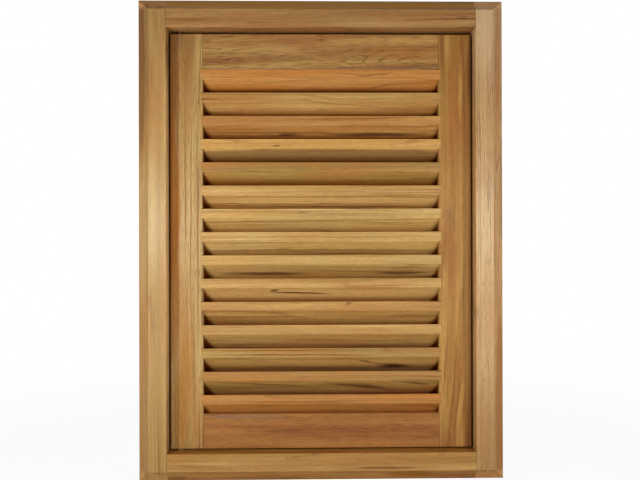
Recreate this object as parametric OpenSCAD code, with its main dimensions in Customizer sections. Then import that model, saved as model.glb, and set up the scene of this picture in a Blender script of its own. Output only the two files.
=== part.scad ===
// Louvred locker door hung on pivot pins in a flanged frame, all in teak.
// X runs to the right, Y into the wall and Z up. The origin is the middle of the
// frame's lower edge, on the wall face.

/* [Frame] */
// Overall width of the frame, over its flange
frame_w = 386; // [320:1:560]
// Overall height of the frame, over its flange
frame_h = 508; // [420:1:760]
// Flat field on the face of the frame
field_w = 19; // [15:0.5:26]
// Bevel round the outer edge of the face
bevel_w = 11; // [7:0.5:15]
// How far the bevel falls back at the outer edge
bevel_drop = 8; // [3:0.5:10]
// Thickness of the flange in front of the wall
flange_t = 13; // [11:0.5:18]
// Thickness of the jambs that line the cut-out
jamb_t = 16; // [14:0.5:20]
// Depth of the jambs behind the back of the door
behind_door = 13; // [10:0.5:30]
// Reach of the lip that closes the gap round the door from behind
lip_w = 8; // [5:0.5:10]
// Length of the stub tenons on the frame rails
frame_tenon_l = 10; // [6:0.5:12]
// Thickness of those tenons
frame_tenon_t = 8; // [5:0.5:10]
// Shoulder in front of and behind those tenons
frame_shoulder = 4; // [2:0.5:8]

/* [Door] */
// Thickness of the door
door_t = 19; // [16:0.5:26]
// Setback of the door's front from the face of the frame
door_recess = 14; // [8:0.5:18]
// Gap between the door and each jamb
side_gap = 2; // [1.6:0.1:4]
// Gap above the door, through which it lifts off its lower pin
top_gap = 3.5; // [2.5:0.1:6]
// Width of the door stiles
stile_w = 35; // [30:0.5:55]
// Height of the top rail
top_rail_h = 37; // [28:0.5:70]
// Height of the bottom rail
bottom_rail_h = 37; // [28:0.5:90]
// Thickness of the tenons on the door rails
door_tenon_t = 7; // [5:0.5:9]
// Shoulder above and below those tenons
door_shoulder = 6; // [4:0.5:10]
// Wood left between the end of a tenon and a pivot bush
tenon_land = 3; // [2:0.5:6]

/* [Louvres] */
// Number of slats
slat_n = 15; // [10:1:17]
// Thickness of a slat
slat_t = 7.2; // [5:0.1:9]
// Fall of the slats from front to back, in degrees
slat_angle = 47; // [42:1:50]
// How far the spacing of the slats runs on below the top of the bottom rail
foot_lap = 4; // [0:0.5:8]
// Depth of the slots that house the slats in the stiles
slot_d = 2.5; // [1.5:0.25:6]
// Radius of the slats' lower front edge
slat_round = 1.6; // [0.8:0.1:3]
// Radius of the slats' other long edges
slat_arris = 0.4; // [0.2:0.1:0.8]

/* [Pivots] */
// Diameter of the pivot pins
pin_d = 5; // [4:0.1:6]
// Distance of the pivot from the door's edge
pivot_in = 10; // [8.5:0.5:13]
// Length of pin let into each frame rail
pin_seat = 12; // [8:0.5:14]
// Reach of the upper pin into its bush
upper_reach = 10; // [6:0.5:11]
// Height of the lift that the lower pin leaves spare
lift_spare = 0.5; // [0.3:0.1:1]
// Wall of the pivot bushes
bush_wall = 1.5; // [1:0.1:2]
// Length of the pivot bushes
bush_l = 16; // [13:0.5:22]
// Outer diameter of the washer that carries the door
washer_d = 11; // [9:0.5:13]
// Thickness of that washer
washer_t = 1.5; // [1:0.1:3]

/* [Catch] */
// Length of the catch's base on the jamb
catch_l = 46; // [42:1:60]
// Thickness of the base
base_t = 2.5; // [2:0.1:4]
// Length of the magnet housing
housing_l = 26; // [24:1:30]
// Reach of the housing in from the jamb
housing_w = 14; // [13:0.5:20]
// Distance of the magnet's middle from the jamb
magnet_in = 8.5; // [7.5:0.1:9]
// Length of the magnet and its pole plates
magnet_l = 20; // [14:1:22]
// Thickness of the magnet
magnet_t = 4; // [3:0.1:5]
// Depth of the pocket for the magnet
pocket_d = 7; // [5:0.5:7.5]
// Thickness of a pole plate
pole_t = 1.5; // [1:0.1:1.8]
// How far the pole plates stand out of the housing
pole_proud = 0.6; // [0.3:0.1:1.2]
// Gap between the pole plates and the strike
pole_gap = 0.3; // [0.2:0.1:1]
// Space left in the lip above and below the catch
catch_room = 1; // [0.5:0.1:3]
// How far the housing stops short of the jamb's back edge
catch_set_in = 0.5; // [0:0.1:2]
// Width of the strike plate
strike_w = 10; // [8:0.5:12]
// Length of the strike plate
strike_l = 30; // [24:1:40]
// Thickness of the strike plate
strike_t = 1.2; // [0.8:0.1:2]

/* [Screws] */
// Diameter of the screws
screw_d = 3; // [2.5:0.1:3.5]
// Diameter of their countersunk heads
head_d = 5.6; // [4.5:0.1:6]
// Length of the screws
screw_l = 12; // [8:0.5:14]
// Width of the driver slot
driver_w = 0.8; // [0.5:0.1:1.2]
// Depth of the driver slot
driver_d = 0.7; // [0.4:0.1:1]

/* [Fits] */
// Running clearance of the pins in their bushes
running_clear = 0.05; // [0.02:0.01:0.1]
// Clearance in joints that are glued, pressed or screwed
joint_clear = 0.05; // [0.02:0.01:0.15]
// Space left between the jamb and the door's corner as it swings past
swing_clear = 0.3; // [0.2:0.05:0.6]
// Softening of the boards' sharp edges
arris = 0.6; // [0.3:0.1:1]
// Softening of the turned ends
turned_arris = 0.5; // [0.2:0.1:0.8]

/* [Hidden] */
$fn = 48;
arc_steps = 4;
over = 1;

// The frame and its opening
face_w = field_w + bevel_w;
overlap = face_w - jamb_t;
opening_w = frame_w - 2 * face_w;
opening_bottom = face_w;
opening_top = frame_h - face_w;
rim_y = bevel_drop - flange_t;

// The door in the opening
bottom_gap = washer_t + running_clear;
door_w = opening_w - 2 * side_gap;
door_bottom = opening_bottom + bottom_gap;
door_top = opening_top - top_gap;
door_h = door_top - door_bottom;
door_mid = (door_bottom + door_top) / 2;
door_front = door_recess - flange_t;
door_back = door_front + door_t;
jamb_d = door_back + behind_door;

// The pivot is as far back as still lets the door's front corner pass the jamb
corner_reach = pivot_in + side_gap - swing_clear;
pivot_back = sqrt(corner_reach * corner_reach - pivot_in * pivot_in);
pivot_x = pivot_in - door_w / 2;
pivot_y = door_front + pivot_back;
lower_reach = top_gap - lift_spare;

// The lip stands clear of the door's back corner, too, as it swings past
back_corner_r = norm([pivot_in, door_back - pivot_y]);
lip_y = pivot_y + back_corner_r + swing_clear;

// The bushes, and the tenons that stop short of them
bush_r = pin_d / 2 + running_clear + bush_wall;
door_tenon_l = stile_w - pivot_in - bush_r - tenon_land;

// The bank of slats between the rails
louvre_w = door_w - 2 * stile_w;
louvre_top = door_top - top_rail_h;
louvre_bottom = door_bottom + bottom_rail_h;
slat_pitch = (louvre_top - louvre_bottom + foot_lap) / slat_n;
slat_l = louvre_w + 2 * (slot_d - joint_clear);
slat_fall = tan(slat_angle);
slat_cut = slat_t / cos(slat_angle);
slot_slack = joint_clear / cos(slat_angle);

// The catch on the jamb and its strike on the door
strike_back = door_back + strike_t;
pole_y = strike_back + pole_gap;
housing_y = pole_y + pole_proud;
housing_d = jamb_d - catch_set_in - housing_y;
catch_x = opening_w / 2;
magnet_x = catch_x - magnet_in;
ear_z = (catch_l + housing_l) / 4;

function slat_name(i) = str("slat_", i < 10 ? "0" : "", i);
function slat_z(i) = louvre_top - slot_slack - (i - 1) * slat_pitch;

// Outlines

function unit(v) = v / norm(v);

// A corner of an outline, turned into an arc of radius r
function round_corner(before, at, after, r) =
    let (a = unit(before - at), b = unit(after - at), half = acos(a * b) / 2)
    let (centre = at + unit(a + b) * r / sin(half), tangent = r / tan(half))
    let (start = at + a * tangent - centre, end = at + b * tangent - centre)
    [for (k = [0:arc_steps]) centre + r * unit(start + (end - start) * k / arc_steps)];

function rounded(points, radii) =
    let (n = len(points))
    [for (i = [0:n - 1]) each
        round_corner(points[(i + n - 1) % n], points[i], points[(i + 1) % n], radii[i])];

// The face and the outside of a frame member: distance out from the opening, then depth from the wall
function face_points() = [
    [0, arris - flange_t], [arris, -flange_t], [field_w, -flange_t], [face_w, rim_y],
    [face_w, 0], [jamb_t, 0], [jamb_t, jamb_d - arris], [jamb_t - arris, jamb_d]
];

// The lip along the back of a member, inside the opening
function lip_points() = [
    [arris - lip_w, jamb_d], [-lip_w, jamb_d - arris],
    [-lip_w, lip_y + arris], [arris - lip_w, lip_y], [0, lip_y]
];

// Section of a slat, from its top front edge, as depth and height
function slat_section() = rounded([
    [0, 0], [door_t, -door_t * slat_fall],
    [door_t, -door_t * slat_fall - slat_cut], [0, -slat_cut]
], [slat_arris, slat_arris, slat_arris, slat_round]);

// The slot for a slat, open at both faces of the stile
function slot_section() = [
    [-over, over * slat_fall + slot_slack],
    [door_t + over, -(door_t + over) * slat_fall + slot_slack],
    [door_t + over, -(door_t + over) * slat_fall - slat_cut - slot_slack],
    [-over, over * slat_fall - slat_cut - slot_slack]
];

// The bed for the lowest slat in the bottom rail, open to all that is above it
function bed_section() = [
    [-over, over * slat_fall - slat_cut - slot_slack],
    [door_t + over, -(door_t + over) * slat_fall - slat_cut - slot_slack],
    [door_t + over, over], [-over, over]
];

// What the bevel takes off the front of a stile's lower end, as depth and height
function end_bevel() = [
    [-flange_t - bevel_drop, 2 * bevel_w], [rim_y + bevel_drop, -bevel_w],
    [-flange_t - bevel_drop, -bevel_w]
];

module soft_outline(w, h) {
    polygon([
        [arris, 0], [w - arris, 0], [w, arris], [w, h - arris],
        [w - arris, h], [arris, h], [0, h - arris], [0, arris]
    ]);
}

// Solids that several pieces share

// Runs an outline of depth and height along X, centred on the middle
module along_x(length) {
    translate([-length / 2, 0, 0])
        rotate([90, 0, 90])
            linear_extrude(length)
                children();
}

// A board with all its edges softened, centred in X
module soft_board(w, d, h) {
    translate([-w / 2, 0, 0])
        intersection() {
            linear_extrude(h) soft_outline(w, d);
            translate([0, d, 0]) rotate([90, 0, 0]) linear_extrude(d) soft_outline(w, h);
            rotate([90, 0, 90]) linear_extrude(w) soft_outline(d, h);
        }
}

// A block centred in X, from low to high in Y and Z
module block(x, w, y, z) {
    translate([x - w / 2, y[0], z[0]])
        cube([w, y[1] - y[0], z[1] - z[0]]);
}

// Turns what is drawn at the foot of the frame to its head
module at_end(top) {
    translate([0, 0, top ? frame_h : 0])
        mirror([0, 0, top ? 1 : 0])
            children();
}

// A round bar standing on the pivot's axis
module on_pivot(z, r, length) {
    translate([pivot_x, pivot_y, z])
        cylinder(r = r, h = length);
}

// A pin turned with a softened tip, standing on its seat
module turned_pin(length) {
    r = pin_d / 2;
    rotate_extrude()
        polygon([
            [0, 0], [r, 0], [r, length - turned_arris],
            [r - turned_arris, length], [0, length]
        ]);
}

// A sleeve standing on its plain end, with its bore's upper mouth eased
module sleeve(bore_r, outer_r, length) {
    rotate_extrude()
        polygon([
            [bore_r, 0], [outer_r, 0], [outer_r, length],
            [bore_r + turned_arris, length], [bore_r, length - turned_arris]
        ]);
}

// A countersunk screw with its head up at the origin
module screw() {
    r = screw_d / 2;
    difference() {
        rotate_extrude()
            polygon([
                [0, 0], [head_d / 2, 0], [r, r - head_d / 2],
                [r, screw_d - screw_l], [0, -screw_l]
            ]);
        translate([-head_d / 2, -driver_w / 2, -driver_d])
            cube([head_d, driver_w, driver_d + over]);
    }
}

// The hole and countersink that take a screw
module screw_hole() {
    r = screw_d / 2 + joint_clear;
    head_r = head_d / 2 + joint_clear;
    rotate_extrude()
        polygon([
            [0, over], [head_r + over, over], [r, r - head_r],
            [r, -screw_l - joint_clear], [0, -screw_l - joint_clear]
        ]);
}

// Frame

// The stub tenon of a lower frame rail, or its mortise with the clearance added
module frame_tenon(side, clear) {
    length = frame_tenon_l + clear;
    middle = face_w - jamb_t / 2;
    half = frame_tenon_t / 2 + clear;
    block(
        side * (opening_w + length) / 2, length,
        [frame_shoulder - clear, jamb_d - frame_shoulder + clear],
        [middle - half, middle + half]
    );
}

// The jamb stops short at the end, so that the flange laps the wall there too
module jamb_notch(side) {
    block(
        side * (opening_w / 2 + face_w / 2), face_w + 2 * over,
        [0, jamb_d + over], [-over, overlap]
    );
}

// A stile's lip runs between those of the rails
module frame_stile(side) {
    lip_bottom = opening_bottom + lip_w;
    lip_top = opening_top - lip_w;
    difference() {
        translate([side * opening_w / 2, 0, 0])
            mirror([side < 0 ? 1 : 0, 0, 0]) {
                linear_extrude(frame_h)
                    polygon(concat(face_points(), [[0, jamb_d]]));
                translate([0, 0, lip_bottom])
                    linear_extrude(lip_top - lip_bottom)
                        polygon(concat(lip_points(), [[arris, lip_y], [arris, jamb_d]]));
            }
        for (top = [false, true])
            at_end(top) {
                along_x(frame_w + 2 * over) polygon(end_bevel());
                jamb_notch(side);
                frame_tenon(side, joint_clear);
            }
    }
}

module frame_rail(top) {
    difference() {
        at_end(top) {
            along_x(opening_w) polygon([for (p = concat(face_points(), lip_points())) [p[1], face_w - p[0]]]);
            for (side = [-1, 1])
                frame_tenon(side, 0);
        }
        on_pivot(
            top ? opening_top - over : opening_bottom - pin_seat,
            pin_d / 2 + joint_clear, pin_seat + over
        );
    }
}

module frame_stile_left() { color("#c9a878") frame_stile(-1); }

// The catch is screwed to this stile's jamb, and the lip stops short of it
module frame_stile_right() {
    room = catch_l / 2 + catch_room;
    color("#caa97b")
        difference() {
            frame_stile(1);
            at_catch_screws() screw_hole();
            block(
                catch_x - lip_w, 2 * lip_w, [lip_y - over, jamb_d + over],
                [door_mid - room, door_mid + room]
            );
        }
}

module frame_rail_top() { color("#9d7044") frame_rail(true); }
module frame_rail_bottom() { color("#ab8050") frame_rail(false); }

// Door

// The heights of a rail's tenons
function tenon_span(z, h) = [z + door_shoulder, z + h - door_shoulder];

// A rail's tenon, or its mortise with the clearance added
module door_tenon(side, span, clear) {
    length = door_tenon_l + clear;
    half = door_tenon_t / 2 + clear;
    middle = (door_front + door_back) / 2;
    block(
        side * (louvre_w + length) / 2, length,
        [middle - half, middle + half], [span[0] - clear, span[1] + clear]
    );
}

// The slots in a stile's inner edge, one to each slat
module slat_slots(side) {
    length = slot_d + over;
    for (i = [1:slat_n])
        translate([side * (louvre_w / 2 + slot_d - length / 2), door_front, slat_z(i)])
            along_x(length)
                polygon(slot_section());
}

module door_stile(side) {
    difference() {
        translate([side * (door_w - stile_w) / 2, door_front, door_bottom])
            soft_board(stile_w, door_t, door_h);
        door_tenon(side, tenon_span(louvre_top, top_rail_h), joint_clear);
        door_tenon(side, tenon_span(door_bottom, bottom_rail_h), joint_clear);
        slat_slots(side);
    }
}

module door_rail(z, h) {
    translate([0, door_front, z])
        along_x(louvre_w)
            soft_outline(door_t, h);
    for (side = [-1, 1])
        door_tenon(side, tenon_span(z, h), 0);
}

module door_stile_hinge() {
    color("#c19b68")
        difference() {
            door_stile(-1);
            on_pivot(door_bottom - over, bush_r + joint_clear, bush_l + over);
            on_pivot(door_top - bush_l, bush_r + joint_clear, bush_l + over);
        }
}

module door_stile_free() {
    color("#aa7c46")
        difference() {
            door_stile(1);
            at_strike() screw_hole();
        }
}

module door_rail_top() { color("#9a6b3d") door_rail(louvre_top, top_rail_h); }

// The lowest slat beds on the bottom rail, whose back edge is cut to its slope
module door_rail_bottom() {
    color("#8c5a34")
        difference() {
            door_rail(door_bottom, bottom_rail_h);
            translate([0, door_front, slat_z(slat_n)])
                along_x(louvre_w)
                    polygon(bed_section());
        }
}

module slat(i) {
    color("#bd9454")
        translate([0, door_front, slat_z(i)])
            along_x(slat_l)
                polygon(slat_section());
}

// Pivots

module pivot_pin_lower() {
    color("#b5924c")
        translate([pivot_x, pivot_y, opening_bottom - pin_seat])
            turned_pin(pin_seat + bottom_gap + lower_reach);
}

module pivot_pin_upper() {
    color("#b5924c")
        translate([pivot_x, pivot_y, opening_top + pin_seat])
            mirror([0, 0, 1])
                turned_pin(pin_seat + top_gap + upper_reach);
}

module pivot_bush_lower() {
    color("#b5924c")
        translate([pivot_x, pivot_y, door_bottom + bush_l])
            mirror([0, 0, 1])
                sleeve(pin_d / 2 + running_clear, bush_r, bush_l);
}

module pivot_bush_upper() {
    color("#b5924c")
        translate([pivot_x, pivot_y, door_top - bush_l])
            sleeve(pin_d / 2 + running_clear, bush_r, bush_l);
}

module pivot_washer() {
    color("#b5924c")
        translate([pivot_x, pivot_y, opening_bottom])
            difference() {
                cylinder(d = washer_d, h = washer_t);
                translate([0, 0, -over])
                    cylinder(r = pin_d / 2 + running_clear, h = washer_t + 2 * over);
            }
}

// Magnetic catch

// Draws at the strike's screw, which goes in from the back of the door
module at_strike() {
    translate([magnet_x, strike_back, door_mid])
        rotate([-90, 0, 0])
            children();
}

// Draws at each screw of the catch's base, which goes into the jamb
module at_catch_screws() {
    for (end = [-1, 1])
        translate([catch_x - base_t, housing_y + housing_d / 2, door_mid + end * ear_z])
            rotate([0, -90, 0])
                children();
}

module catch_housing() {
    pocket_w = magnet_t + 2 * pole_t + 4 * joint_clear;
    pocket_l = magnet_l + 2 * joint_clear;
    color("#5b3a22")
        difference() {
            translate([0, housing_y, door_mid]) {
                translate([catch_x - base_t / 2, 0, -catch_l / 2])
                    soft_board(base_t, housing_d, catch_l);
                translate([catch_x - housing_w / 2, 0, -housing_l / 2])
                    soft_board(housing_w, housing_d, housing_l);
            }
            block(
                magnet_x, pocket_w, [housing_y - over, housing_y + pocket_d],
                [door_mid - pocket_l / 2, door_mid + pocket_l / 2]
            );
            at_catch_screws() screw_hole();
        }
}

// A plate of the magnet's length in the pocket, from a depth in front to its floor
module in_pocket(x, w, front) {
    block(
        x, w, [front, housing_y + pocket_d - joint_clear],
        [door_mid - magnet_l / 2, door_mid + magnet_l / 2]
    );
}

module catch_magnet() {
    color("#3a3a3c")
        in_pocket(magnet_x, magnet_t, housing_y);
}

module catch_poles() {
    offset_x = (magnet_t + pole_t) / 2 + joint_clear;
    color("#b9bcc0")
        for (side = [-1, 1])
            in_pocket(magnet_x + side * offset_x, pole_t, pole_y);
}

module catch_screws() {
    color("#b5924c")
        at_catch_screws()
            screw();
}

module strike_plate() {
    color("#b9bcc0")
        difference() {
            block(
                magnet_x, strike_w, [door_back, strike_back],
                [door_mid - strike_l / 2, door_mid + strike_l / 2]
            );
            at_strike() screw_hole();
        }
}

module strike_screw() {
    color("#b5924c")
        at_strike()
            screw();
}

frame_stile_left();
frame_stile_right();
frame_rail_top();
frame_rail_bottom();
door_stile_hinge();
door_stile_free();
door_rail_top();
door_rail_bottom();
for (i = [1:slat_n])
    slat(i);
pivot_pin_upper();
pivot_pin_lower();
pivot_bush_upper();
pivot_bush_lower();
pivot_washer();
catch_housing();
catch_magnet();
catch_poles();
catch_screws();
strike_plate();
strike_screw();
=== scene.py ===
import math
from collections import namedtuple

import bmesh
import bpy
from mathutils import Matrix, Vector

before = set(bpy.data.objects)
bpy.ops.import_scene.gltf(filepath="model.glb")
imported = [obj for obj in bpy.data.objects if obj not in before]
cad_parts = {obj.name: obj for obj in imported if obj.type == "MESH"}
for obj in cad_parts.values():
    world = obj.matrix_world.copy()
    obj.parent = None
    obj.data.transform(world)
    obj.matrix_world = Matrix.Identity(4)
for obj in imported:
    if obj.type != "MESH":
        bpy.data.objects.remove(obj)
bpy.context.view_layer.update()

MM = 0.001


def linear(hex_colour):
    """An sRGB hex colour as the linear colour that a shader takes."""
    parts = [int(hex_colour[i:i + 2], 16) / 255 for i in (1, 3, 5)]
    return [c / 12.92 if c <= 0.04045 else ((c + 0.055) / 1.055) ** 2.4 for c in parts] + [1.0]


def add(tree, kind, sockets=None, **settings):
    """One node: settings are its properties, and sockets its inputs, each a value or an output to link."""
    node = tree.nodes.new(kind)
    for key, value in settings.items():
        setattr(node, key, value)
    for key, value in (sockets or {}).items():
        if isinstance(value, bpy.types.NodeSocket):
            tree.links.new(value, node.inputs[key])
        else:
            node.inputs[key].default_value = value
    return node


def new_material(name):
    """An empty material with its node tree and its shader."""
    material = bpy.data.materials.new(name)
    material.use_nodes = True
    tree = material.node_tree
    tree.nodes.clear()
    shader = add(tree, "ShaderNodeBsdfPrincipled")
    add(tree, "ShaderNodeOutputMaterial", {"Surface": shader.outputs["BSDF"]})
    return material, tree, shader


def wire(tree, shader, colour, rough, bump):
    """Links a finish's colour, roughness and relief to its shader."""
    for socket, output in (("Base Color", colour), ("Roughness", rough), ("Normal", bump)):
        tree.links.new(output, shader.inputs[socket])


# A colour Mix node's sockets have the same names as its other types', so they go by number
MIX_A, MIX_B, MIX_OUT = 6, 7, 2


# Teak

# How it is figured, in millimetres along the grain and across it. Real fibres are too fine to show, so
# they are drawn coarser
WANDER = (260, 45)
BANDS = (500, 9)
CLOUDS = (140, 13)
HILLS = (280, 13)
GROWTH_FADES = (120, 14)
FIBRES = (8, 1.2)
TEARS = (36, 6)
# How far the grain wanders off its line, and how far a mark's outline is torn along and across it
WANDER_BY = 8
TORN_BY = (24, 2.5)
# How much slower the figure changes through the board than across it
THROUGH = 3

# The noise levels between which each feature comes in
BAND_LEVELS = (0.34, 0.66)
CLOUD_LEVELS = (0.42, 0.66)
FADE_LEVELS = (0.35, 0.65)
FIBRE_LEVELS = (0.3, 0.7)
# How far on toward the next growth line one starts to darken, and where it is darkest
LINE_LEVELS = (0.76, 0.96)
LINE_TINT = "#a98058"
# How light the fibres are at their levels, how much rougher or smoother than the board, and how high
FIBRE_SHADE = (0.89, 1.09)
FIBRE_ROUGH = 0.03
FIBRE_RELIEF = 0.2

# Streaks and pores: their sizes along and across the grain, the noise levels between which they come in,
# and their tint. The pores are coarser than real ones too
Groove = namedtuple("Groove", "sizes low high tint")
BROAD_STREAKS = Groove((420, 5), 0.5, 0.72, "#c8a47c")
STREAKS = Groove((600, 1.6), 0.57, 0.63, "#9c744c")
PORES = Groove((14, 0.7), 0.52, 0.64, "#8c623a")
BROAD_DEPTH = 0.5

# A mark in the wood: its middle seen from the front, its half length along the grain, its half
# width across it, its slope off the grain in degrees, its colour, how much of it shows, and how
# much of its width fades out
Mark = namedtuple("Mark", "x z length width slope colour depth fade", defaults=(0.6,))

# Painted shade deep between the slats, from the first to the second of these depths. The eye sees
# less far in between the higher slats
DUSK_HIGH = (7, 12.5)
DUSK_LOW = (9, 17)
SLAT_SHADE_TINT = "#b89062"
# The painted shade fades to a share of itself between these depths, toward the back, and to nothing
# between these places on either side, so that it reaches the inner faces of the door's stiles and no
# further
DUSK_ENDS = (17, 20)
DUSK_BEHIND = 0.2
DUSK_SIDES = (130, 134)
# The painted shadow wedges at a slat's ends, where the stiles shade them: the place midway between
# them, where they start and end on either side of it, how much deeper they lie at their start than at
# their end, and the depths at which they set in and are full at their end
WEDGE_MIDDLE = 1
WEDGE_FROM, WEDGE_TO = 118, 127
WEDGE_DEEP = 12
WEDGE_EDGE = (1.2, 6)
SHADOW_WEDGE_TINT = "#a4764a"

# The roughness of the oiled surface and the strength of its sheen: on most boards, on the best planed
# and on the plainest
SATIN = (0.39, 0.33)
SHINE = (0.3, 0.5)
MATT = (0.5, 0.3)
# What is left of the sheen on surfaces turned from the front, which were only sawn, and on end grain
TURNED_SHEEN = 0.55
END_SHEEN = 0.1
# The oil film is faintly yellow, so the sheen is cream
OIL_SHEEN = "#f8fbe4"
OIL_IOR = 1.45
# How squarely a surface faces the front, from the front's own look to that of what is turned from it
TURNED = (0.95, 0.85)
# How squarely a surface faces along the grain, from plain to dark end grain, and from glossy to dull
END_GRAIN = (0.62, 0.95)
END_DULL = (0.3, 0.6)
END_TINT = "#b08c5c"


def stretched(tree, log, along_across, **sockets):
    """Noise drawn out along the grain."""
    along, across = along_across
    place = add(tree, "ShaderNodeVectorMath",
                {0: log, 1: (1 / along, 1 / across / THROUGH, 1 / across)}, operation="MULTIPLY")
    return add(tree, "ShaderNodeTexNoise", {"Vector": place.outputs[0], "Scale": 1.0, **sockets})


def in_log(tree, place, grain, cut, tilt):
    """A place in the log that the board was cut from, in millimetres, with X along the wandering grain."""
    turn = (90 if grain == "Z" else 0) + tilt
    log = add(tree, "ShaderNodeMapping", {
        "Vector": place, "Location": cut, "Rotation": (0, math.radians(turn), 0), "Scale": (1 / MM,) * 3,
    }).outputs[0]
    drift = stretched(tree, log, WANDER, Detail=2.0)
    return add(tree, "ShaderNodeVectorMath", {
        0: drift.outputs["Color"], 1: (0, WANDER_BY, WANDER_BY), 2: log,
    }, operation="MULTIPLY_ADD").outputs[0]


def banded(tree, log, tone):
    """The board's own colour: pale and deep bands along the grain, with a third tone that drifts in."""
    pale, deep, flush = tone
    bands = stretched(tree, log, BANDS, Detail=3.0, Roughness=0.5)
    banding = add(tree, "ShaderNodeMapRange", {
        "Value": bands.outputs[0], "From Min": BAND_LEVELS[0], "From Max": BAND_LEVELS[1],
    })
    colour = add(tree, "ShaderNodeMix", {
        0: banding.outputs[0], MIX_A: linear(pale), MIX_B: linear(deep),
    }, data_type="RGBA").outputs[MIX_OUT]
    clouds = stretched(tree, log, CLOUDS, Detail=2.0)
    clouding = add(tree, "ShaderNodeMapRange", {
        "Value": clouds.outputs[0], "From Min": CLOUD_LEVELS[0], "From Max": CLOUD_LEVELS[1],
    })
    return add(tree, "ShaderNodeMix", {
        0: clouding.outputs[0], MIX_A: colour, MIX_B: linear(flush),
    }, data_type="RGBA").outputs[MIX_OUT]


def lined(tree, log, colour, lines):
    """The wood's colour with growth lines in it, and the patches in which they and the streaks show.

    The lines are the contours of a slow noise, as if the plane had cut through hills."""
    count, depth = lines
    hills = stretched(tree, log, HILLS, Detail=1.0, Roughness=0.4)
    height = add(tree, "ShaderNodeMath", {0: hills.outputs[0], 1: count}, operation="MULTIPLY")
    rings = add(tree, "ShaderNodeMath", {0: height.outputs[0]}, operation="FRACT")
    ring_edge = add(tree, "ShaderNodeMapRange", {
        "Value": rings.outputs[0], "From Min": LINE_LEVELS[0], "From Max": LINE_LEVELS[1], "To Max": depth,
    }, interpolation_type="SMOOTHSTEP")
    faint = stretched(tree, log, GROWTH_FADES, Detail=1.0)
    patches = add(tree, "ShaderNodeMapRange", {
        "Value": faint.outputs[0], "From Min": FADE_LEVELS[0], "From Max": FADE_LEVELS[1],
    }).outputs[0]
    line = add(tree, "ShaderNodeMath", {0: ring_edge.outputs[0], 1: patches}, operation="MULTIPLY")
    darker = add(tree, "ShaderNodeMix", {
        0: line.outputs[0], MIX_A: colour, MIX_B: linear(LINE_TINT),
    }, data_type="RGBA", blend_type="MULTIPLY")
    return darker.outputs[MIX_OUT], patches


def grooved(tree, log, colour, groove, depth, spread):
    """The wood's colour with one kind of streak or pore where its noise is high, and their share."""
    noise = stretched(tree, log, groove.sizes, Detail=2.0, Roughness=0.4)
    level = add(tree, "ShaderNodeMapRange", {
        "Value": noise.outputs[0], "From Min": groove.low, "From Max": groove.high, "To Max": depth,
    }, interpolation_type="SMOOTHSTEP")
    share = add(tree, "ShaderNodeMath", {0: level.outputs[0], 1: spread}, operation="MULTIPLY").outputs[0]
    darker = add(tree, "ShaderNodeMix", {
        0: share, MIX_A: colour, MIX_B: linear(groove.tint),
    }, data_type="RGBA", blend_type="MULTIPLY")
    return darker.outputs[MIX_OUT], share


def torn(tree, log, place, grain):
    """Places shifted a little to and fro, so that the outline of a mark is ragged along the grain."""
    tear = stretched(tree, log, TEARS, Detail=2.0)
    shift = add(tree, "ShaderNodeVectorMath", {
        0: tear.outputs["Color"], 1: (0.5, 0.5, 0.5),
    }, operation="SUBTRACT")
    along, across = (v * MM for v in TORN_BY)
    return add(tree, "ShaderNodeVectorMath", {
        0: shift.outputs[0], 1: (across, 0, along) if grain == "Z" else (along, 0, across), 2: place,
    }, operation="MULTIPLY_ADD").outputs[0]


def stained(tree, place, colour, grain, mark):
    """The wood's colour with one mark in it, which runs right through the board, and the mark's share."""
    reach = (mark.length, mark.width) if grain == "X" else (mark.width, mark.length)
    off = add(tree, "ShaderNodeMapping", {
        "Vector": place, "Location": (mark.x * MM, 0, mark.z * MM),
        "Rotation": (0, math.radians(mark.slope), 0), "Scale": (reach[0] * MM, 1, reach[1] * MM),
    }, vector_type="TEXTURE")
    flat = add(tree, "ShaderNodeVectorMath", {0: off.outputs[0], 1: (1, 0, 1)}, operation="MULTIPLY")
    away = add(tree, "ShaderNodeVectorMath", {0: flat.outputs[0]}, operation="LENGTH")
    inside = add(tree, "ShaderNodeMapRange", {
        "Value": away.outputs["Value"], "From Min": 1 - mark.fade, "From Max": 1.0,
        "To Min": mark.depth, "To Max": 0.0,
    }, interpolation_type="SMOOTHSTEP")
    both = add(tree, "ShaderNodeMix", {
        0: inside.outputs[0], MIX_A: colour, MIX_B: linear(mark.colour),
    }, data_type="RGBA")
    return both.outputs[MIX_OUT], inside.outputs[0]


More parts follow.
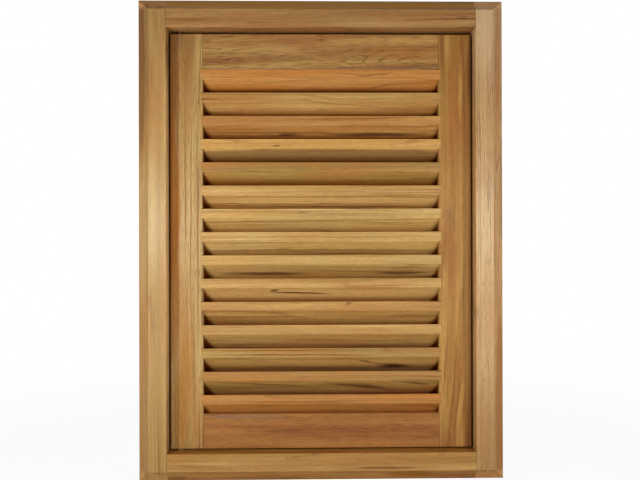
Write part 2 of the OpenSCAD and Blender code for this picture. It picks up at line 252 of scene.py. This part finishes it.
def painted_slat_shade(tree, place, colour, dusk):
    """The colour with painted shade between the slats, and the share of painted shadow wedges at their
    ends.
    """
    where = add(tree, "ShaderNodeSeparateXYZ", {0: place})
    deep = where.outputs["Y"]
    from_middle = add(tree, "ShaderNodeMath", {
        0: where.outputs["X"], 1: WEDGE_MIDDLE * MM,
    }, operation="SUBTRACT")
    toward_end = add(tree, "ShaderNodeMath", {0: from_middle.outputs[0]}, operation="ABSOLUTE").outputs[0]
    # The painted shade eases off toward the back, which gets light again, and spares the door's outer
    # edges
    before_back = add(tree, "ShaderNodeMapRange", {
        "Value": deep, "From Min": DUSK_ENDS[0] * MM, "From Max": DUSK_ENDS[1] * MM,
        "To Min": 1.0, "To Max": DUSK_BEHIND,
    })
    within = add(tree, "ShaderNodeMapRange", {
        "Value": toward_end, "From Min": DUSK_SIDES[0] * MM, "From Max": DUSK_SIDES[1] * MM,
        "To Min": before_back.outputs[0], "To Max": 0.0,
    }).outputs[0]
    brown = add(tree, "ShaderNodeMapRange", {
        "Value": deep, "From Min": dusk[0] * MM, "From Max": dusk[1] * MM, "To Max": within,
    })
    colour = add(tree, "ShaderNodeMix", {
        0: brown.outputs[0], MIX_A: colour, MIX_B: linear(SLAT_SHADE_TINT),
    }, data_type="RGBA", blend_type="MULTIPLY").outputs[MIX_OUT]
    # A painted shadow darkens the ends of the slats, in wedges that widen with the depth
    near_end = add(tree, "ShaderNodeMapRange", {
        "Value": toward_end, "From Min": WEDGE_FROM * MM, "From Max": WEDGE_TO * MM,
        "To Max": WEDGE_DEEP * MM,
    }, clamp=False)
    lift = add(tree, "ShaderNodeMath", {
        0: near_end.outputs[0], 1: WEDGE_DEEP * MM,
    }, operation="MINIMUM")
    depth = add(tree, "ShaderNodeMath", {0: lift.outputs[0], 1: deep}, operation="ADD")
    shadow_wedge = add(tree, "ShaderNodeMapRange", {
        "Value": depth.outputs[0], "To Max": within,
        "From Min": (WEDGE_DEEP + WEDGE_EDGE[0]) * MM, "From Max": (WEDGE_DEEP + WEDGE_EDGE[1]) * MM,
    }).outputs[0]
    darker = add(tree, "ShaderNodeMix", {
        0: shadow_wedge, MIX_A: colour, MIX_B: linear(SHADOW_WEDGE_TINT),
    }, data_type="RGBA", blend_type="MULTIPLY")
    return darker.outputs[MIX_OUT], shadow_wedge


def turned_shade_and_end_grain(tree, normal, colour, grain, edges):
    """The wood's colour by the way a surface faces: painted shade by how far it is turned from the front,
    and dark end grain by how squarely it shows."""
    # What is turned from the front takes the edges tint, which is painted shade
    front = add(tree, "ShaderNodeVectorMath", {0: normal, 1: (0, -1, 0)}, operation="DOT_PRODUCT")
    turned = add(tree, "ShaderNodeMapRange", {
        "Value": front.outputs["Value"], "From Min": TURNED[0], "From Max": TURNED[1],
    }).outputs[0]
    colour = add(tree, "ShaderNodeMix", {
        0: turned, MIX_A: colour, MIX_B: linear(edges),
    }, data_type="RGBA", blend_type="MULTIPLY").outputs[MIX_OUT]
    # End grain drinks the oil and goes dark
    facing = add(tree, "ShaderNodeVectorMath", {
        0: normal, 1: (0, 0, 1) if grain == "Z" else (1, 0, 0),
    }, operation="DOT_PRODUCT")
    square_on = add(tree, "ShaderNodeMath", {0: facing.outputs["Value"]}, operation="ABSOLUTE").outputs[0]
    end_grain = add(tree, "ShaderNodeMapRange", {
        "Value": square_on, "From Min": END_GRAIN[0], "From Max": END_GRAIN[1],
    })
    darker = add(tree, "ShaderNodeMix", {
        0: end_grain.outputs[0], MIX_A: colour, MIX_B: linear(END_TINT),
    }, data_type="RGBA", blend_type="MULTIPLY")
    return darker.outputs[MIX_OUT], turned, square_on


def sheen_level(tree, strength, turned, square_on, shadow_wedge):
    """The strength of the oil's sheen: weak on sawn surfaces and end grain, nil in painted shadow wedges.
    """
    sheen = add(tree, "ShaderNodeMapRange", {
        "Value": turned, "To Min": strength, "To Max": strength * TURNED_SHEEN,
    })
    dull_end = add(tree, "ShaderNodeMapRange", {
        "Value": square_on, "From Min": END_DULL[0], "From Max": END_DULL[1],
        "To Min": 1.0, "To Max": END_SHEEN,
    })
    level = add(tree, "ShaderNodeMath", {
        0: sheen.outputs[0], 1: dull_end.outputs[0],
    }, operation="MULTIPLY")
    unshaded = add(tree, "ShaderNodeMath", {0: 1.0, 1: shadow_wedge}, operation="SUBTRACT")
    return add(tree, "ShaderNodeMath", {
        0: level.outputs[0], 1: unshaded.outputs[0],
    }, operation="MULTIPLY").outputs[0]


def teak(name, grain, tone, cut, lines=(8, 0.5), streaks=0.8, pores=0.1, tilt=0, marks=(), satin=SATIN,
         edges="#ffffff", dusk=None):
    """Oiled teak, planed and sanded. It shows golden bands along the grain, brown streaks and growth
    lines, short dark pores and a satin sheen, and its end grain drinks the oil and goes dark.

    grain is the axis that the grain follows, and tilt its slope in degrees. tone holds the pale and the
    deep colour and one that drifts in as clouds, cut is the board's place in its log, lines the number
    of the growth lines and how dark they are, streaks and pores how dark those are, satin the roughness
    and the strength of the sheen, edges the tint of painted shade on what is turned from the front, and
    dusk the depths between which shade is painted in between the slats."""
    material, tree, shader = new_material(name)
    coords = add(tree, "ShaderNodeTexCoord")
    place = coords.outputs["Object"]
    log = in_log(tree, place, grain, cut, tilt)
    colour = banded(tree, log, tone)
    colour, patches = lined(tree, log, colour, lines)
    colour, _ = grooved(tree, log, colour, BROAD_STREAKS, BROAD_DEPTH, patches)
    colour, _ = grooved(tree, log, colour, STREAKS, streaks, patches)
    colour, pitted = grooved(tree, log, colour, PORES, pores, 1.0)

    roughness, strength = satin
    fibres = stretched(tree, log, FIBRES, Detail=2.0).outputs[0]
    rough = add(tree, "ShaderNodeMapRange", {
        "Value": fibres, "From Min": FIBRE_LEVELS[0], "From Max": FIBRE_LEVELS[1],
        "To Min": roughness + FIBRE_ROUGH, "To Max": roughness - FIBRE_ROUGH,
    }).outputs[0]
    ragged = torn(tree, log, place, grain)
    for mark in marks:
        colour, share = stained(tree, ragged, colour, grain, mark)
        # A mark is duller than the wood round it
        rough = add(tree, "ShaderNodeMath", {0: rough, 1: share}, operation="MAXIMUM").outputs[0]

    # Painted shade between the slats, and painted shadow wedges at their ends
    shadow_wedge = 0.0
    if dusk:
        colour, shadow_wedge = painted_slat_shade(tree, place, colour, dusk)
    fibre_shade = add(tree, "ShaderNodeMapRange", {
        "Value": fibres, "From Min": FIBRE_LEVELS[0], "From Max": FIBRE_LEVELS[1],
        "To Min": FIBRE_SHADE[0], "To Max": FIBRE_SHADE[1],
    })
    colour = add(tree, "ShaderNodeMix", {
        0: 1.0, MIX_A: colour, MIX_B: fibre_shade.outputs[0],
    }, data_type="RGBA", blend_type="MULTIPLY").outputs[MIX_OUT]
    # Painted shade on what is turned from the front, and darker end grain
    colour, turned, square_on = turned_shade_and_end_grain(tree, coords.outputs["Normal"], colour, grain, edges)

    relief = add(tree, "ShaderNodeMath", {0: fibres, 1: pitted}, operation="SUBTRACT")
    bump = add(tree, "ShaderNodeBump", {
        "Height": relief.outputs[0], "Strength": 0.3, "Distance": FIBRE_RELIEF * MM,
    })
    wire(tree, shader, colour, rough, bump.outputs[0])
    sheen = sheen_level(tree, strength, turned, square_on, shadow_wedge)
    tree.links.new(sheen, shader.inputs["Specular IOR Level"])
    shader.inputs["Specular Tint"].default_value = linear(OIL_SHEEN)
    shader.inputs["IOR"].default_value = OIL_IOR
    return material


# The hardware

# A wave texture at scale 1 has a crest every this many units
WAVE_CREST = math.tau / 20
# The spacing of the brass's tool rings, drawn coarser than real ones so that they show, and the size
# of its tarnish
TOOL_RING, TARNISH = 0.3, 4
# The steel's rolling lines across and along them, and its mottle
ROLLING, MOTTLE = (0.4, 12), 3
# The grain that spark erosion left in the plastic's mould, drawn coarser than real so that it shows,
# and rubbed patches
SPARK_GRAIN, RUBBED = 0.5, 8
# The ferrite's specks
SPECK = 0.6


def turned_brass():
    """Brass turned on a lathe and left to dull: warm yellow, with fine tool rings and brown tarnish."""
    material, tree, shader = new_material("turned_brass_dulled")
    coords = add(tree, "ShaderNodeTexCoord").outputs["Object"]
    rings = add(tree, "ShaderNodeTexWave", {
        "Vector": coords, "Scale": WAVE_CREST / (TOOL_RING * MM), "Distortion": 0.4,
    }, wave_type="BANDS", bands_direction="Z")
    tarnish = add(tree, "ShaderNodeTexNoise", {
        "Vector": coords, "Scale": 1 / (TARNISH * MM), "Detail": 3.0,
    })
    patch = add(tree, "ShaderNodeMapRange", {
        "Value": tarnish.outputs[0], "From Min": 0.4, "From Max": 0.65,
    })
    colour = add(tree, "ShaderNodeMix", {
        0: patch.outputs[0], MIX_A: linear("#8a6a38"), MIX_B: linear("#513a20"),
    }, data_type="RGBA")
    rough = add(tree, "ShaderNodeMapRange", {
        "Value": tarnish.outputs[0], "From Min": 0.3, "From Max": 0.7, "To Min": 0.28, "To Max": 0.48,
    })
    bump = add(tree, "ShaderNodeBump", {
        "Height": rings.outputs["Fac"], "Strength": 0.15, "Distance": 0.05 * MM,
    })
    wire(tree, shader, colour.outputs[MIX_OUT], rough.outputs[0], bump.outputs[0])
    shader.inputs["Metallic"].default_value = 1.0
    return material


def plated_steel():
    """Rolled steel strip, zinc plated: cool pale grey, with rolling lines and a faint mottle."""
    material, tree, shader = new_material("zinc_plated_steel")
    coords = add(tree, "ShaderNodeTexCoord").outputs["Object"]
    across, along = (1 / (v * MM) for v in ROLLING)
    rolled = add(tree, "ShaderNodeMapping", {"Vector": coords, "Scale": (across, across, along)})
    lines = add(tree, "ShaderNodeTexNoise", {"Vector": rolled.outputs[0], "Scale": 1.0, "Detail": 2.0})
    mottle = add(tree, "ShaderNodeTexNoise", {"Vector": coords, "Scale": 1 / (MOTTLE * MM), "Detail": 2.0})
    colour = add(tree, "ShaderNodeMix", {
        0: mottle.outputs[0], MIX_A: linear("#c6c9cd"), MIX_B: linear("#a3a7ad"),
    }, data_type="RGBA")
    rough = add(tree, "ShaderNodeMapRange", {
        "Value": lines.outputs[0], "From Min": 0.3, "From Max": 0.7, "To Min": 0.25, "To Max": 0.42,
    })
    bump = add(tree, "ShaderNodeBump", {
        "Height": lines.outputs[0], "Strength": 0.2, "Distance": 0.03 * MM,
    })
    wire(tree, shader, colour.outputs[MIX_OUT], rough.outputs[0], bump.outputs[0])
    shader.inputs["Metallic"].default_value = 1.0
    return material


def brown_plastic():
    """Moulded ABS, coloured through: dark brown, with the fine even spark grain of its mould."""
    material, tree, shader = new_material("brown_abs_moulded")
    coords = add(tree, "ShaderNodeTexCoord").outputs["Object"]
    grit = add(tree, "ShaderNodeTexNoise", {
        "Vector": coords, "Scale": 1 / (SPARK_GRAIN * MM), "Detail": 1.0,
    })
    rub = add(tree, "ShaderNodeTexNoise", {"Vector": coords, "Scale": 1 / (RUBBED * MM), "Detail": 3.0})
    colour = add(tree, "ShaderNodeMix", {
        0: rub.outputs[0], MIX_A: linear("#4a2f1e"), MIX_B: linear("#5f4029"),
    }, data_type="RGBA")
    rough = add(tree, "ShaderNodeMapRange", {
        "Value": rub.outputs[0], "From Min": 0.3, "From Max": 0.7, "To Min": 0.4, "To Max": 0.55,
    })
    bump = add(tree, "ShaderNodeBump", {
        "Height": grit.outputs[0], "Strength": 0.25, "Distance": 0.06 * MM,
    })
    wire(tree, shader, colour.outputs[MIX_OUT], rough.outputs[0], bump.outputs[0])
    shader.inputs["IOR"].default_value = 1.53
    return material


def ferrite():
    """Ferrite, pressed and fired: charcoal grey, matt and faintly speckled like a pottery body."""
    material, tree, shader = new_material("fired_ferrite")
    coords = add(tree, "ShaderNodeTexCoord").outputs["Object"]
    speck = add(tree, "ShaderNodeTexNoise", {"Vector": coords, "Scale": 1 / (SPECK * MM), "Detail": 2.0})
    colour = add(tree, "ShaderNodeMix", {
        0: speck.outputs[0], MIX_A: linear("#242426"), MIX_B: linear("#3d3d40"),
    }, data_type="RGBA")
    rough = add(tree, "ShaderNodeMapRange", {
        "Value": speck.outputs[0], "From Min": 0.3, "From Max": 0.7, "To Min": 0.6, "To Max": 0.8,
    })
    bump = add(tree, "ShaderNodeBump", {
        "Height": speck.outputs[0], "Strength": 0.2, "Distance": 0.05 * MM,
    })
    wire(tree, shader, colour.outputs[MIX_OUT], rough.outputs[0], bump.outputs[0])
    return material


# The boards

# Their tones: pale, deep, and what drifts in
STRAW = ("#bd965b", "#a07a40", "#aa7c44")
BLUSH = ("#caa370", "#b08754", "#bc8f5f")
HONEY = ("#c69d5d", "#a57c40", "#ac7b40")
BROWN_HONEY = ("#bd9058", "#9a6e3e", "#a57342")
GOLD = ("#cba86a", "#b08c4f", "#be9450")
YELLOW = ("#d2a862", "#bd8e4a", "#c4914c")
ORANGE = ("#c89152", "#a96e30", "#c07c34")
RUSSET = ("#a67037", "#925c2a", "#985e2c")
UMBER = ("#b98c48", "#93692f", "#94602c")
SAND = ("#c3a261", "#93733b", "#aa8247")
CHESTNUT = ("#bb9352", "#94683a", "#a06c3c")
OLIVE = ("#b58e4e", "#906d34", "#a87136")
AMBER = ("#c09050", "#a06e38", "#a97036")
# A tint of painted shade for faces turned from the front
TURNED_SHADE_TINT = "#e8d2b0"

FRAME_BOARDS = {
    "frame_stile_left": dict(
        grain="Z", tone=STRAW, cut=(0, 60, 300), lines=(7, 0.35), streaks=0.3, satin=SHINE,
        marks=(
            # Along the bevel; the first, pale halfway up, is a painted sheen
            Mark(-188, 260, 110, 6, 0, "#ac8c60", 0.8, 0.6),
            Mark(-188, 70, 140, 6, 0, "#a0784a", 0.8, 0.4),
            Mark(-190, 436, 130, 7, 0, "#7a4f2c", 0.8, 0.5),
            # The pale inner face, painted light from the lamps across the opening
            Mark(-162.4, 254, 300, 1.6, 0, "#e8bf82", 0.8),
            # The bevels at its ends
            Mark(-176, 506, 10, 22, 0, "#d09a62", 0.8, 0.4),
            Mark(-176, 2, 10, 22, 0, "#c8995f", 0.6, 0.4),
        ),
    ),
    "frame_stile_right": dict(
        grain="Z", tone=BLUSH, cut=(700, 150, 40), lines=(10, 0.6), pores=0.35, satin=SHINE,
        marks=(
            # Pale at the top and brown at the foot
            Mark(172, 490, 110, 24, 0, "#d6b285", 0.9, 1.0),
            Mark(172, 20, 130, 30, 0, "#9a6c38", 0.6, 1.0),
            # Along the bevel
            Mark(189, 60, 150, 6, 0, "#9e6c36", 0.75, 0.4),
            Mark(187, 430, 120, 4, 0, "#b7784b", 0.6, 0.5),
            # The pale inner face, painted light from the lamps across the opening
            Mark(162.4, 254, 300, 1.6, 0, "#dcac6c", 0.45),
            # The bevels at its ends
            Mark(178, 506, 10, 24, 0, "#eab27c", 0.9, 0.4),
            Mark(178, 2, 10, 24, 0, "#c8935a", 0.8, 0.4),
        ),
    ),
    "frame_rail_top": dict(
        grain="X", tone=BROWN_HONEY, cut=(0, 90, 410), lines=(8, 0.5), tilt=1,
        # Painted light along the top bevel, lighter as if lit from above
        marks=(Mark(0, 503, 230, 6, 0, "#c9904e", 0.85, 0.3),),
    ),
    "frame_rail_bottom": dict(
        # Painted shade on the faces turned from the front
        grain="X", tone=HONEY, cut=(300, 40, 620), lines=(8, 0.5), streaks=0.4, edges=TURNED_SHADE_TINT,
        marks=(Mark(96, 6.5, 36, 5, 0, "#a97a40", 0.85, 0.5),),
    ),
}

DOOR_BOARDS = {
    "door_stile_hinge": dict(
        grain="Z", tone=SAND, cut=(1300, 20, 150), lines=(14, 1.0), streaks=1.0, pores=0.4, satin=SHINE,
        marks=(
            # Browner high up and low down
            Mark(-141, 445, 105, 16, 0, "#8c5c26", 0.75, 1.0),
            Mark(-144, 120, 110, 16, 0, "#a86f2c", 0.7, 1.0),
            # Fine lines halfway up
            Mark(-145, 330, 150, 0.9, 0, "#8c5a2a", 0.8),
            Mark(-139, 280, 170, 0.8, 0.3, "#8c5a2a", 0.8),
            Mark(-132, 300, 160, 0.9, -0.3, "#8c5a2a", 0.8),
            # The foot
            Mark(-150, 70, 110, 16, 0, "#9c6a2c", 0.8, 0.9),
            Mark(-134, 60, 70, 8, 0, "#a67436", 0.7, 0.9),
            Mark(-136, 120, 90, 0.9, 0, "#85592b", 0.7),
            # A strip of brown heartwood along the hinge side
            Mark(-162, 430, 110, 15, 0.8, "#8a5018", 0.75, 0.5),
            Mark(-161, 300, 120, 13.5, -0.8, "#9a5812", 0.75, 0.4),
            Mark(-160, 190, 110, 15, 1.2, "#965a1a", 0.65, 0.6),
            # The dark top, painted shade under the frame's head
            Mark(-152, 474, 32, 12, 0, "#5e3f24", 0.5, 1.0),
            Mark(-138, 470, 30, 14, 0, "#7c5024", 0.45, 1.0),
        ),
        # Painted shade on its inner faces between the slats
        dusk=DUSK_LOW,
    ),
    "door_stile_free": dict(
        grain="Z", tone=UMBER, cut=(1900, 35, 220), lines=(6, 0.3), streaks=0.3, satin=MATT,
        marks=(
            # Pale and brown strips high up
            Mark(136, 462, 38, 6, 0, "#c39850", 0.5, 1.0),
            Mark(141, 395, 95, 13, 0, "#a3662a", 0.5, 1.0),
            Mark(150, 412, 48, 3.5, 1, "#c0924a", 0.6, 0.9),
            # Brown low down, with slanting pale strips in it
            Mark(146, 110, 120, 18, 0, "#8c5822", 0.65, 1.0),
            Mark(149, 80, 48, 4, 7, "#b98c46", 0.6, 0.8),
            Mark(137, 80, 60, 3, 5, "#ad8340", 0.5, 0.9),
            # A dull brown cloud halfway up
            Mark(138, 281, 22, 7, -12, "#7d5a35", 0.5, 0.9),
            # Slanting lines low down
            Mark(133, 120, 50, 1, 4, "#7a4a1e", 0.7),
            Mark(141, 90, 55, 1, 5, "#7a4a1e", 0.7),
            Mark(145, 75, 40, 1, 6, "#7a4a1e", 0.7),
            # Darker brown along the free edge
            Mark(162, 440, 70, 6, 0, "#5c3818", 0.7),
            Mark(162, 200, 260, 5, 0, "#84522a", 0.5),
            Mark(161, 40, 130, 9, 3, "#74431c", 0.75),
        ),
        # Painted shade on its inner faces between the slats
        dusk=DUSK_LOW,
    ),
    "door_rail_top": dict(
        grain="X", tone=CHESTNUT, cut=(2300, 15, 330), lines=(20, 0.8), streaks=0.3, pores=0.5, tilt=2,
        marks=(
            Mark(85, 455, 60, 12, 2, "#a86e2c", 0.45, 1.0),
            Mark(-40, 458, 40, 10, 2, "#c8a060", 0.4, 1.0),
        ),
    ),
    "door_rail_bottom": dict(
        grain="X", tone=RUSSET, cut=(2800, 80, 510), lines=(20, 0.55), streaks=0.3, pores=0.3,
        marks=(Mark(-90, 66, 60, 3, 0, "#7d6450", 0.5),),
    ),
}

# The slats from the top down: each one's tone, and the streaks, knots, and paler or darker strips in it
SLATS = (
    (ORANGE, (
        Mark(56, 431, 26, 1.2, -7, "#8a4f22", 0.7),
        # Painted shade along the deep end of the underside
        Mark(0, 415, 220, 3.5, 0, "#7a4418", 0.65, 0.7),
    )),
    (HONEY, (
        Mark(-5, 408, 25, 1.5, 8, "#9a5f30", 0.5),
        Mark(0, 391, 220, 3.5, 0, "#cc9c5c", 0.5, 0.8),
    )),
    (AMBER, (
        Mark(60, 368, 75, 3, 0, "#4a2c14", 0.85, 0.8),
        Mark(-33, 368, 16, 2, 0, "#4a2c14", 0.8, 0.7),
        Mark(30, 384, 90, 0.9, -1, "#824618", 0.8),
        Mark(-40, 370, 120, 0.7, 0.4, "#5a3418", 0.7),
    )),
    (YELLOW, (
        Mark(0, 344, 220, 9, 0, "#74512c", 0.8, 0.3),
        Mark(-48, 355, 5, 1.2, 0, "#4a2f18", 0.8),
    )),
    (OLIVE, ()),
    (HONEY, (
        Mark(0, 297, 240, 6, 0, "#d6ac6a", 0.4, 0.5),
        Mark(0, 300.3, 200, 0.8, 0, "#7a4f22", 0.7),
        Mark(-20, 293, 160, 0.7, 0, "#6a3f1c", 0.7),
        Mark(10, 290.4, 180, 0.8, 0.3, "#5a3518", 0.6),
    )),
    (GOLD, (
        Mark(0, 275, 200, 0.8, -0.5, "#7a4f22", 0.6),
    )),
    (GOLD, (
        Mark(0, 257.5, 200, 0.7, 0, "#7a4f22", 0.5),
        # Painted shade along the deep end of the underside
        Mark(0, 243, 200, 2, 0, "#6b431d", 0.5),
    )),
    (GOLD, (
        Mark(0, 221.5, 240, 7, 0, "#8e5c24", 0.45, 0.7),
        Mark(-60, 218, 66, 3, 0, "#5a3016", 0.9, 0.8),
        Mark(86, 218.5, 38, 2.6, 0, "#5a3018", 0.85, 0.7),
    )),
    (HONEY, (
        Mark(0, 195, 240, 7, 0, "#d0a464", 0.5, 0.6),
        Mark(-22, 197, 40, 1.2, 2, "#4f2c14", 0.95),
        Mark(-49, 200, 6, 1.7, 0, "#4f2c14", 0.8),
    )),
    (HONEY, (
        Mark(27, 184, 20, 4, 0, "#b5783c", 0.5, 1.0),
        Mark(27, 186.3, 5, 2, 0, "#7d4a28", 0.8),
    )),
    (HONEY, ()),
    (OLIVE, (
        Mark(0, 122, 260, 6, 0, "#b98b4c", 0.8, 0.8),
        # Painted shade along the deep end of the underside
        Mark(0, 115, 240, 3, 0, "#6e3e12", 0.5, 0.8),
        Mark(-40, 136, 110, 0.8, 0, "#7a4a20", 0.8),
        Mark(-30, 131.4, 120, 1, 0.4, "#6f4220", 0.8),
        Mark(77, 117.5, 23, 4.4, 3, "#40220e", 0.95, 0.8),
        Mark(54, 122, 20, 1.2, 12, "#6a4220", 0.65),
    )),
    (OLIVE, (
        Mark(-70, 106, 60, 5, 0, "#b5803a", 0.6, 1.0),
        Mark(44, 96, 48, 3.6, 7, "#553416", 0.85, 0.9),
        Mark(-60, 99, 60, 1.2, 3, "#6a3f18", 0.7),
        Mark(98, 100, 26, 2.4, 9, "#6a4220", 0.75, 0.8),
    )),
    (ORANGE, ()),
)
SLAT_LINES = (6, 0.45)
SLAT_STREAKS = 0.5
# How many slats from the top count as high
HIGH_SLATS = 5
# Each slat is cut further along the log and across it than the one before, in turn from several layers
SLAT_ALONG = 410
LAYERS, FIRST_LAYER, LAYER_STEP = 4, 25, 13
FIRST_ACROSS, ACROSS_STEP = 170, 57


def finish(node, material):
    """Gives a piece of the model its finish."""
    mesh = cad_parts[node].data
    mesh.materials.clear()
    mesh.materials.append(material)


def dress_boards():
    """Gives each board and slat a teak of its own."""
    for node, look in {**FRAME_BOARDS, **DOOR_BOARDS}.items():
        finish(node, teak("oiled_teak_" + node, **look))
    for number, (tone, marks) in enumerate(SLATS, 1):
        node = f"slat_{number:02d}"
        layer = FIRST_LAYER + LAYER_STEP * (number % LAYERS)
        cut = (SLAT_ALONG * number, layer, FIRST_ACROSS + ACROSS_STEP * number)
        # Painted shade deep between the slats, seen less deep in the higher ones
        dusk = DUSK_HIGH if number <= HIGH_SLATS else DUSK_LOW
        finish(node, teak("oiled_teak_" + node, "X", tone, cut, SLAT_LINES, SLAT_STREAKS,
                          marks=marks, dusk=dusk))


def dress_hardware():
    """Gives the pivots, the catch and the strike their finishes."""
    brass, steel = turned_brass(), plated_steel()
    for node in ("pivot_pin_upper", "pivot_pin_lower", "pivot_bush_upper", "pivot_bush_lower",
                 "pivot_washer", "catch_screws", "strike_screw"):
        finish(node, brass)
    for node in ("catch_poles", "strike_plate"):
        finish(node, steel)
    finish("catch_housing", brown_plastic())
    finish("catch_magnet", ferrite())


dress_boards()
dress_hardware()


# The floor, the light and the camera

FLOOR_HALF = 4000
# The floor is this white near the door, where its shadow shows, and goes plain white between these
# distances from its foot
NEAR_WHITE = 0.93
SHADOW_NEAR, SHADOW_FAR = 350, 900
# The strength of the even light from all round
FILL = 0.04

# Each lamp's name, its place, the place it faces, its width and height, and its power in watts
MID_HEIGHT = 254
LEFT_HALF, MIDDLE, RIGHT_HALF = ((x, 0, MID_HEIGHT) for x in (-100, 0, 100))
LAMPS = (
    ("front_lamp_left", (-285, -490, 280), LEFT_HALF, (130, 130), 0.45),
    ("side_lamp_left", (-490, -430, 270), LEFT_HALF, (70, 70), 1.06),
    ("front_lamp_right", (315, -490, 280), RIGHT_HALF, (130, 130), 0.45),
    ("side_lamp_right", (500, -430, 270), RIGHT_HALF, (70, 70), 0.64),
    ("back_lamp_left", (-500, 700, 1000), MIDDLE, (400, 400), 4.0),
    ("back_lamp_right", (500, 700, 1000), MIDDLE, (400, 400), 4.0),
    ("low_reflector", (0, -520, 40), MIDDLE, (900, 160), 0.7),
)
LAMP_SPREAD = 140

# The camera's place, its turn in degrees, the photograph's width and the focal length in its pixels,
# and the sensor's width
CAMERA_PLACE = (-17.1, -813, 252.5)
CAMERA_TURN = (90.11, 0.14, -1.101)
IMAGE_W_PX = 640
FOCAL_PX = 760.8
SENSOR_W = 36.0


def seen(tree):
    """1 for rays that show a surface to the eye, straight or by gloss or glass, and 0 for the rest."""
    path = add(tree, "ShaderNodeLightPath")
    gloss = add(tree, "ShaderNodeMath", {
        0: path.outputs["Is Camera Ray"], 1: path.outputs["Is Glossy Ray"],
    }, operation="MAXIMUM")
    return add(tree, "ShaderNodeMath", {
        0: gloss.outputs[0], 1: path.outputs["Is Transmission Ray"],
    }, operation="MAXIMUM").outputs[0]


def make_floor():
    """A white floor that keeps the door's shadow near its foot and is plain white further off."""
    mesh = bpy.data.meshes.new("floor")
    shape = bmesh.new()
    bmesh.ops.create_grid(shape, x_segments=1, y_segments=1, size=FLOOR_HALF * MM)
    shape.to_mesh(mesh)
    shape.free()
    floor = bpy.data.objects.new("floor", mesh)
    bpy.context.scene.collection.objects.link(floor)
    material = bpy.data.materials.new("matt_white_floor")
    material.use_nodes = True
    tree = material.node_tree
    tree.nodes.clear()
    paint = add(tree, "ShaderNodeBsdfDiffuse", {"Color": linear("#c8c8c8")})
    white = add(tree, "ShaderNodeEmission", {"Color": linear("#ffffff"), "Strength": 1.0})
    coords = add(tree, "ShaderNodeTexCoord").outputs["Object"]
    away = add(tree, "ShaderNodeVectorMath", {0: coords}, operation="LENGTH")
    plain = add(tree, "ShaderNodeMapRange", {
        "Value": away.outputs["Value"], "From Min": SHADOW_NEAR * MM, "From Max": SHADOW_FAR * MM,
        "To Min": NEAR_WHITE, "To Max": 1.0,
    }, interpolation_type="SMOOTHSTEP")
    share = add(tree, "ShaderNodeMath", {0: plain.outputs[0], 1: seen(tree)}, operation="MULTIPLY")
    surface = add(tree, "ShaderNodeMixShader", {
        0: share.outputs[0], 1: paint.outputs[0], 2: white.outputs[0],
    })
    add(tree, "ShaderNodeOutputMaterial", {"Surface": surface.outputs[0]})
    mesh.materials.append(material)


def make_world():
    """White to the eye, and a dim even fill for the object."""
    world = bpy.data.worlds.new("studio")
    bpy.context.scene.world = world
    world.use_nodes = True
    tree = world.node_tree
    tree.nodes.clear()
    fill = add(tree, "ShaderNodeBackground", {"Color": linear("#ffffff"), "Strength": FILL})
    white = add(tree, "ShaderNodeBackground", {"Color": linear("#ffffff"), "Strength": 1.0})
    both = add(tree, "ShaderNodeMixShader", {0: seen(tree), 1: fill.outputs[0], 2: white.outputs[0]})
    add(tree, "ShaderNodeOutputWorld", {"Surface": both.outputs[0]})


def make_lamp(name, place, aim, size, power):
    """A softbox that faces a point, and isn't itself seen."""
    light = bpy.data.lights.new(name, "AREA")
    light.shape = "RECTANGLE"
    light.size, light.size_y = (v * MM for v in size)
    light.energy = power
    light.spread = math.radians(LAMP_SPREAD)
    lamp = bpy.data.objects.new(name, light)
    bpy.context.scene.collection.objects.link(lamp)
    lamp.location = [v * MM for v in place]
    lamp.rotation_euler = (Vector(aim) - Vector(place)).to_track_quat("-Z", "Y").to_euler()
    lamp.visible_camera = False


def make_camera():
    """Square on and at mid-height, as the photograph was taken, a little turned and rolled."""
    data = bpy.data.cameras.new("camera")
    data.sensor_width = SENSOR_W
    data.lens = FOCAL_PX * SENSOR_W / IMAGE_W_PX
    camera = bpy.data.objects.new("camera", data)
    camera.location = [v * MM for v in CAMERA_PLACE]
    camera.rotation_euler = [math.radians(v) for v in CAMERA_TURN]
    bpy.context.scene.collection.objects.link(camera)
    bpy.context.scene.camera = camera


make_floor()
make_world()
for lamp in LAMPS:
    make_lamp(*lamp)
make_camera()
bpy.context.scene.view_settings.view_transform = "Standard"
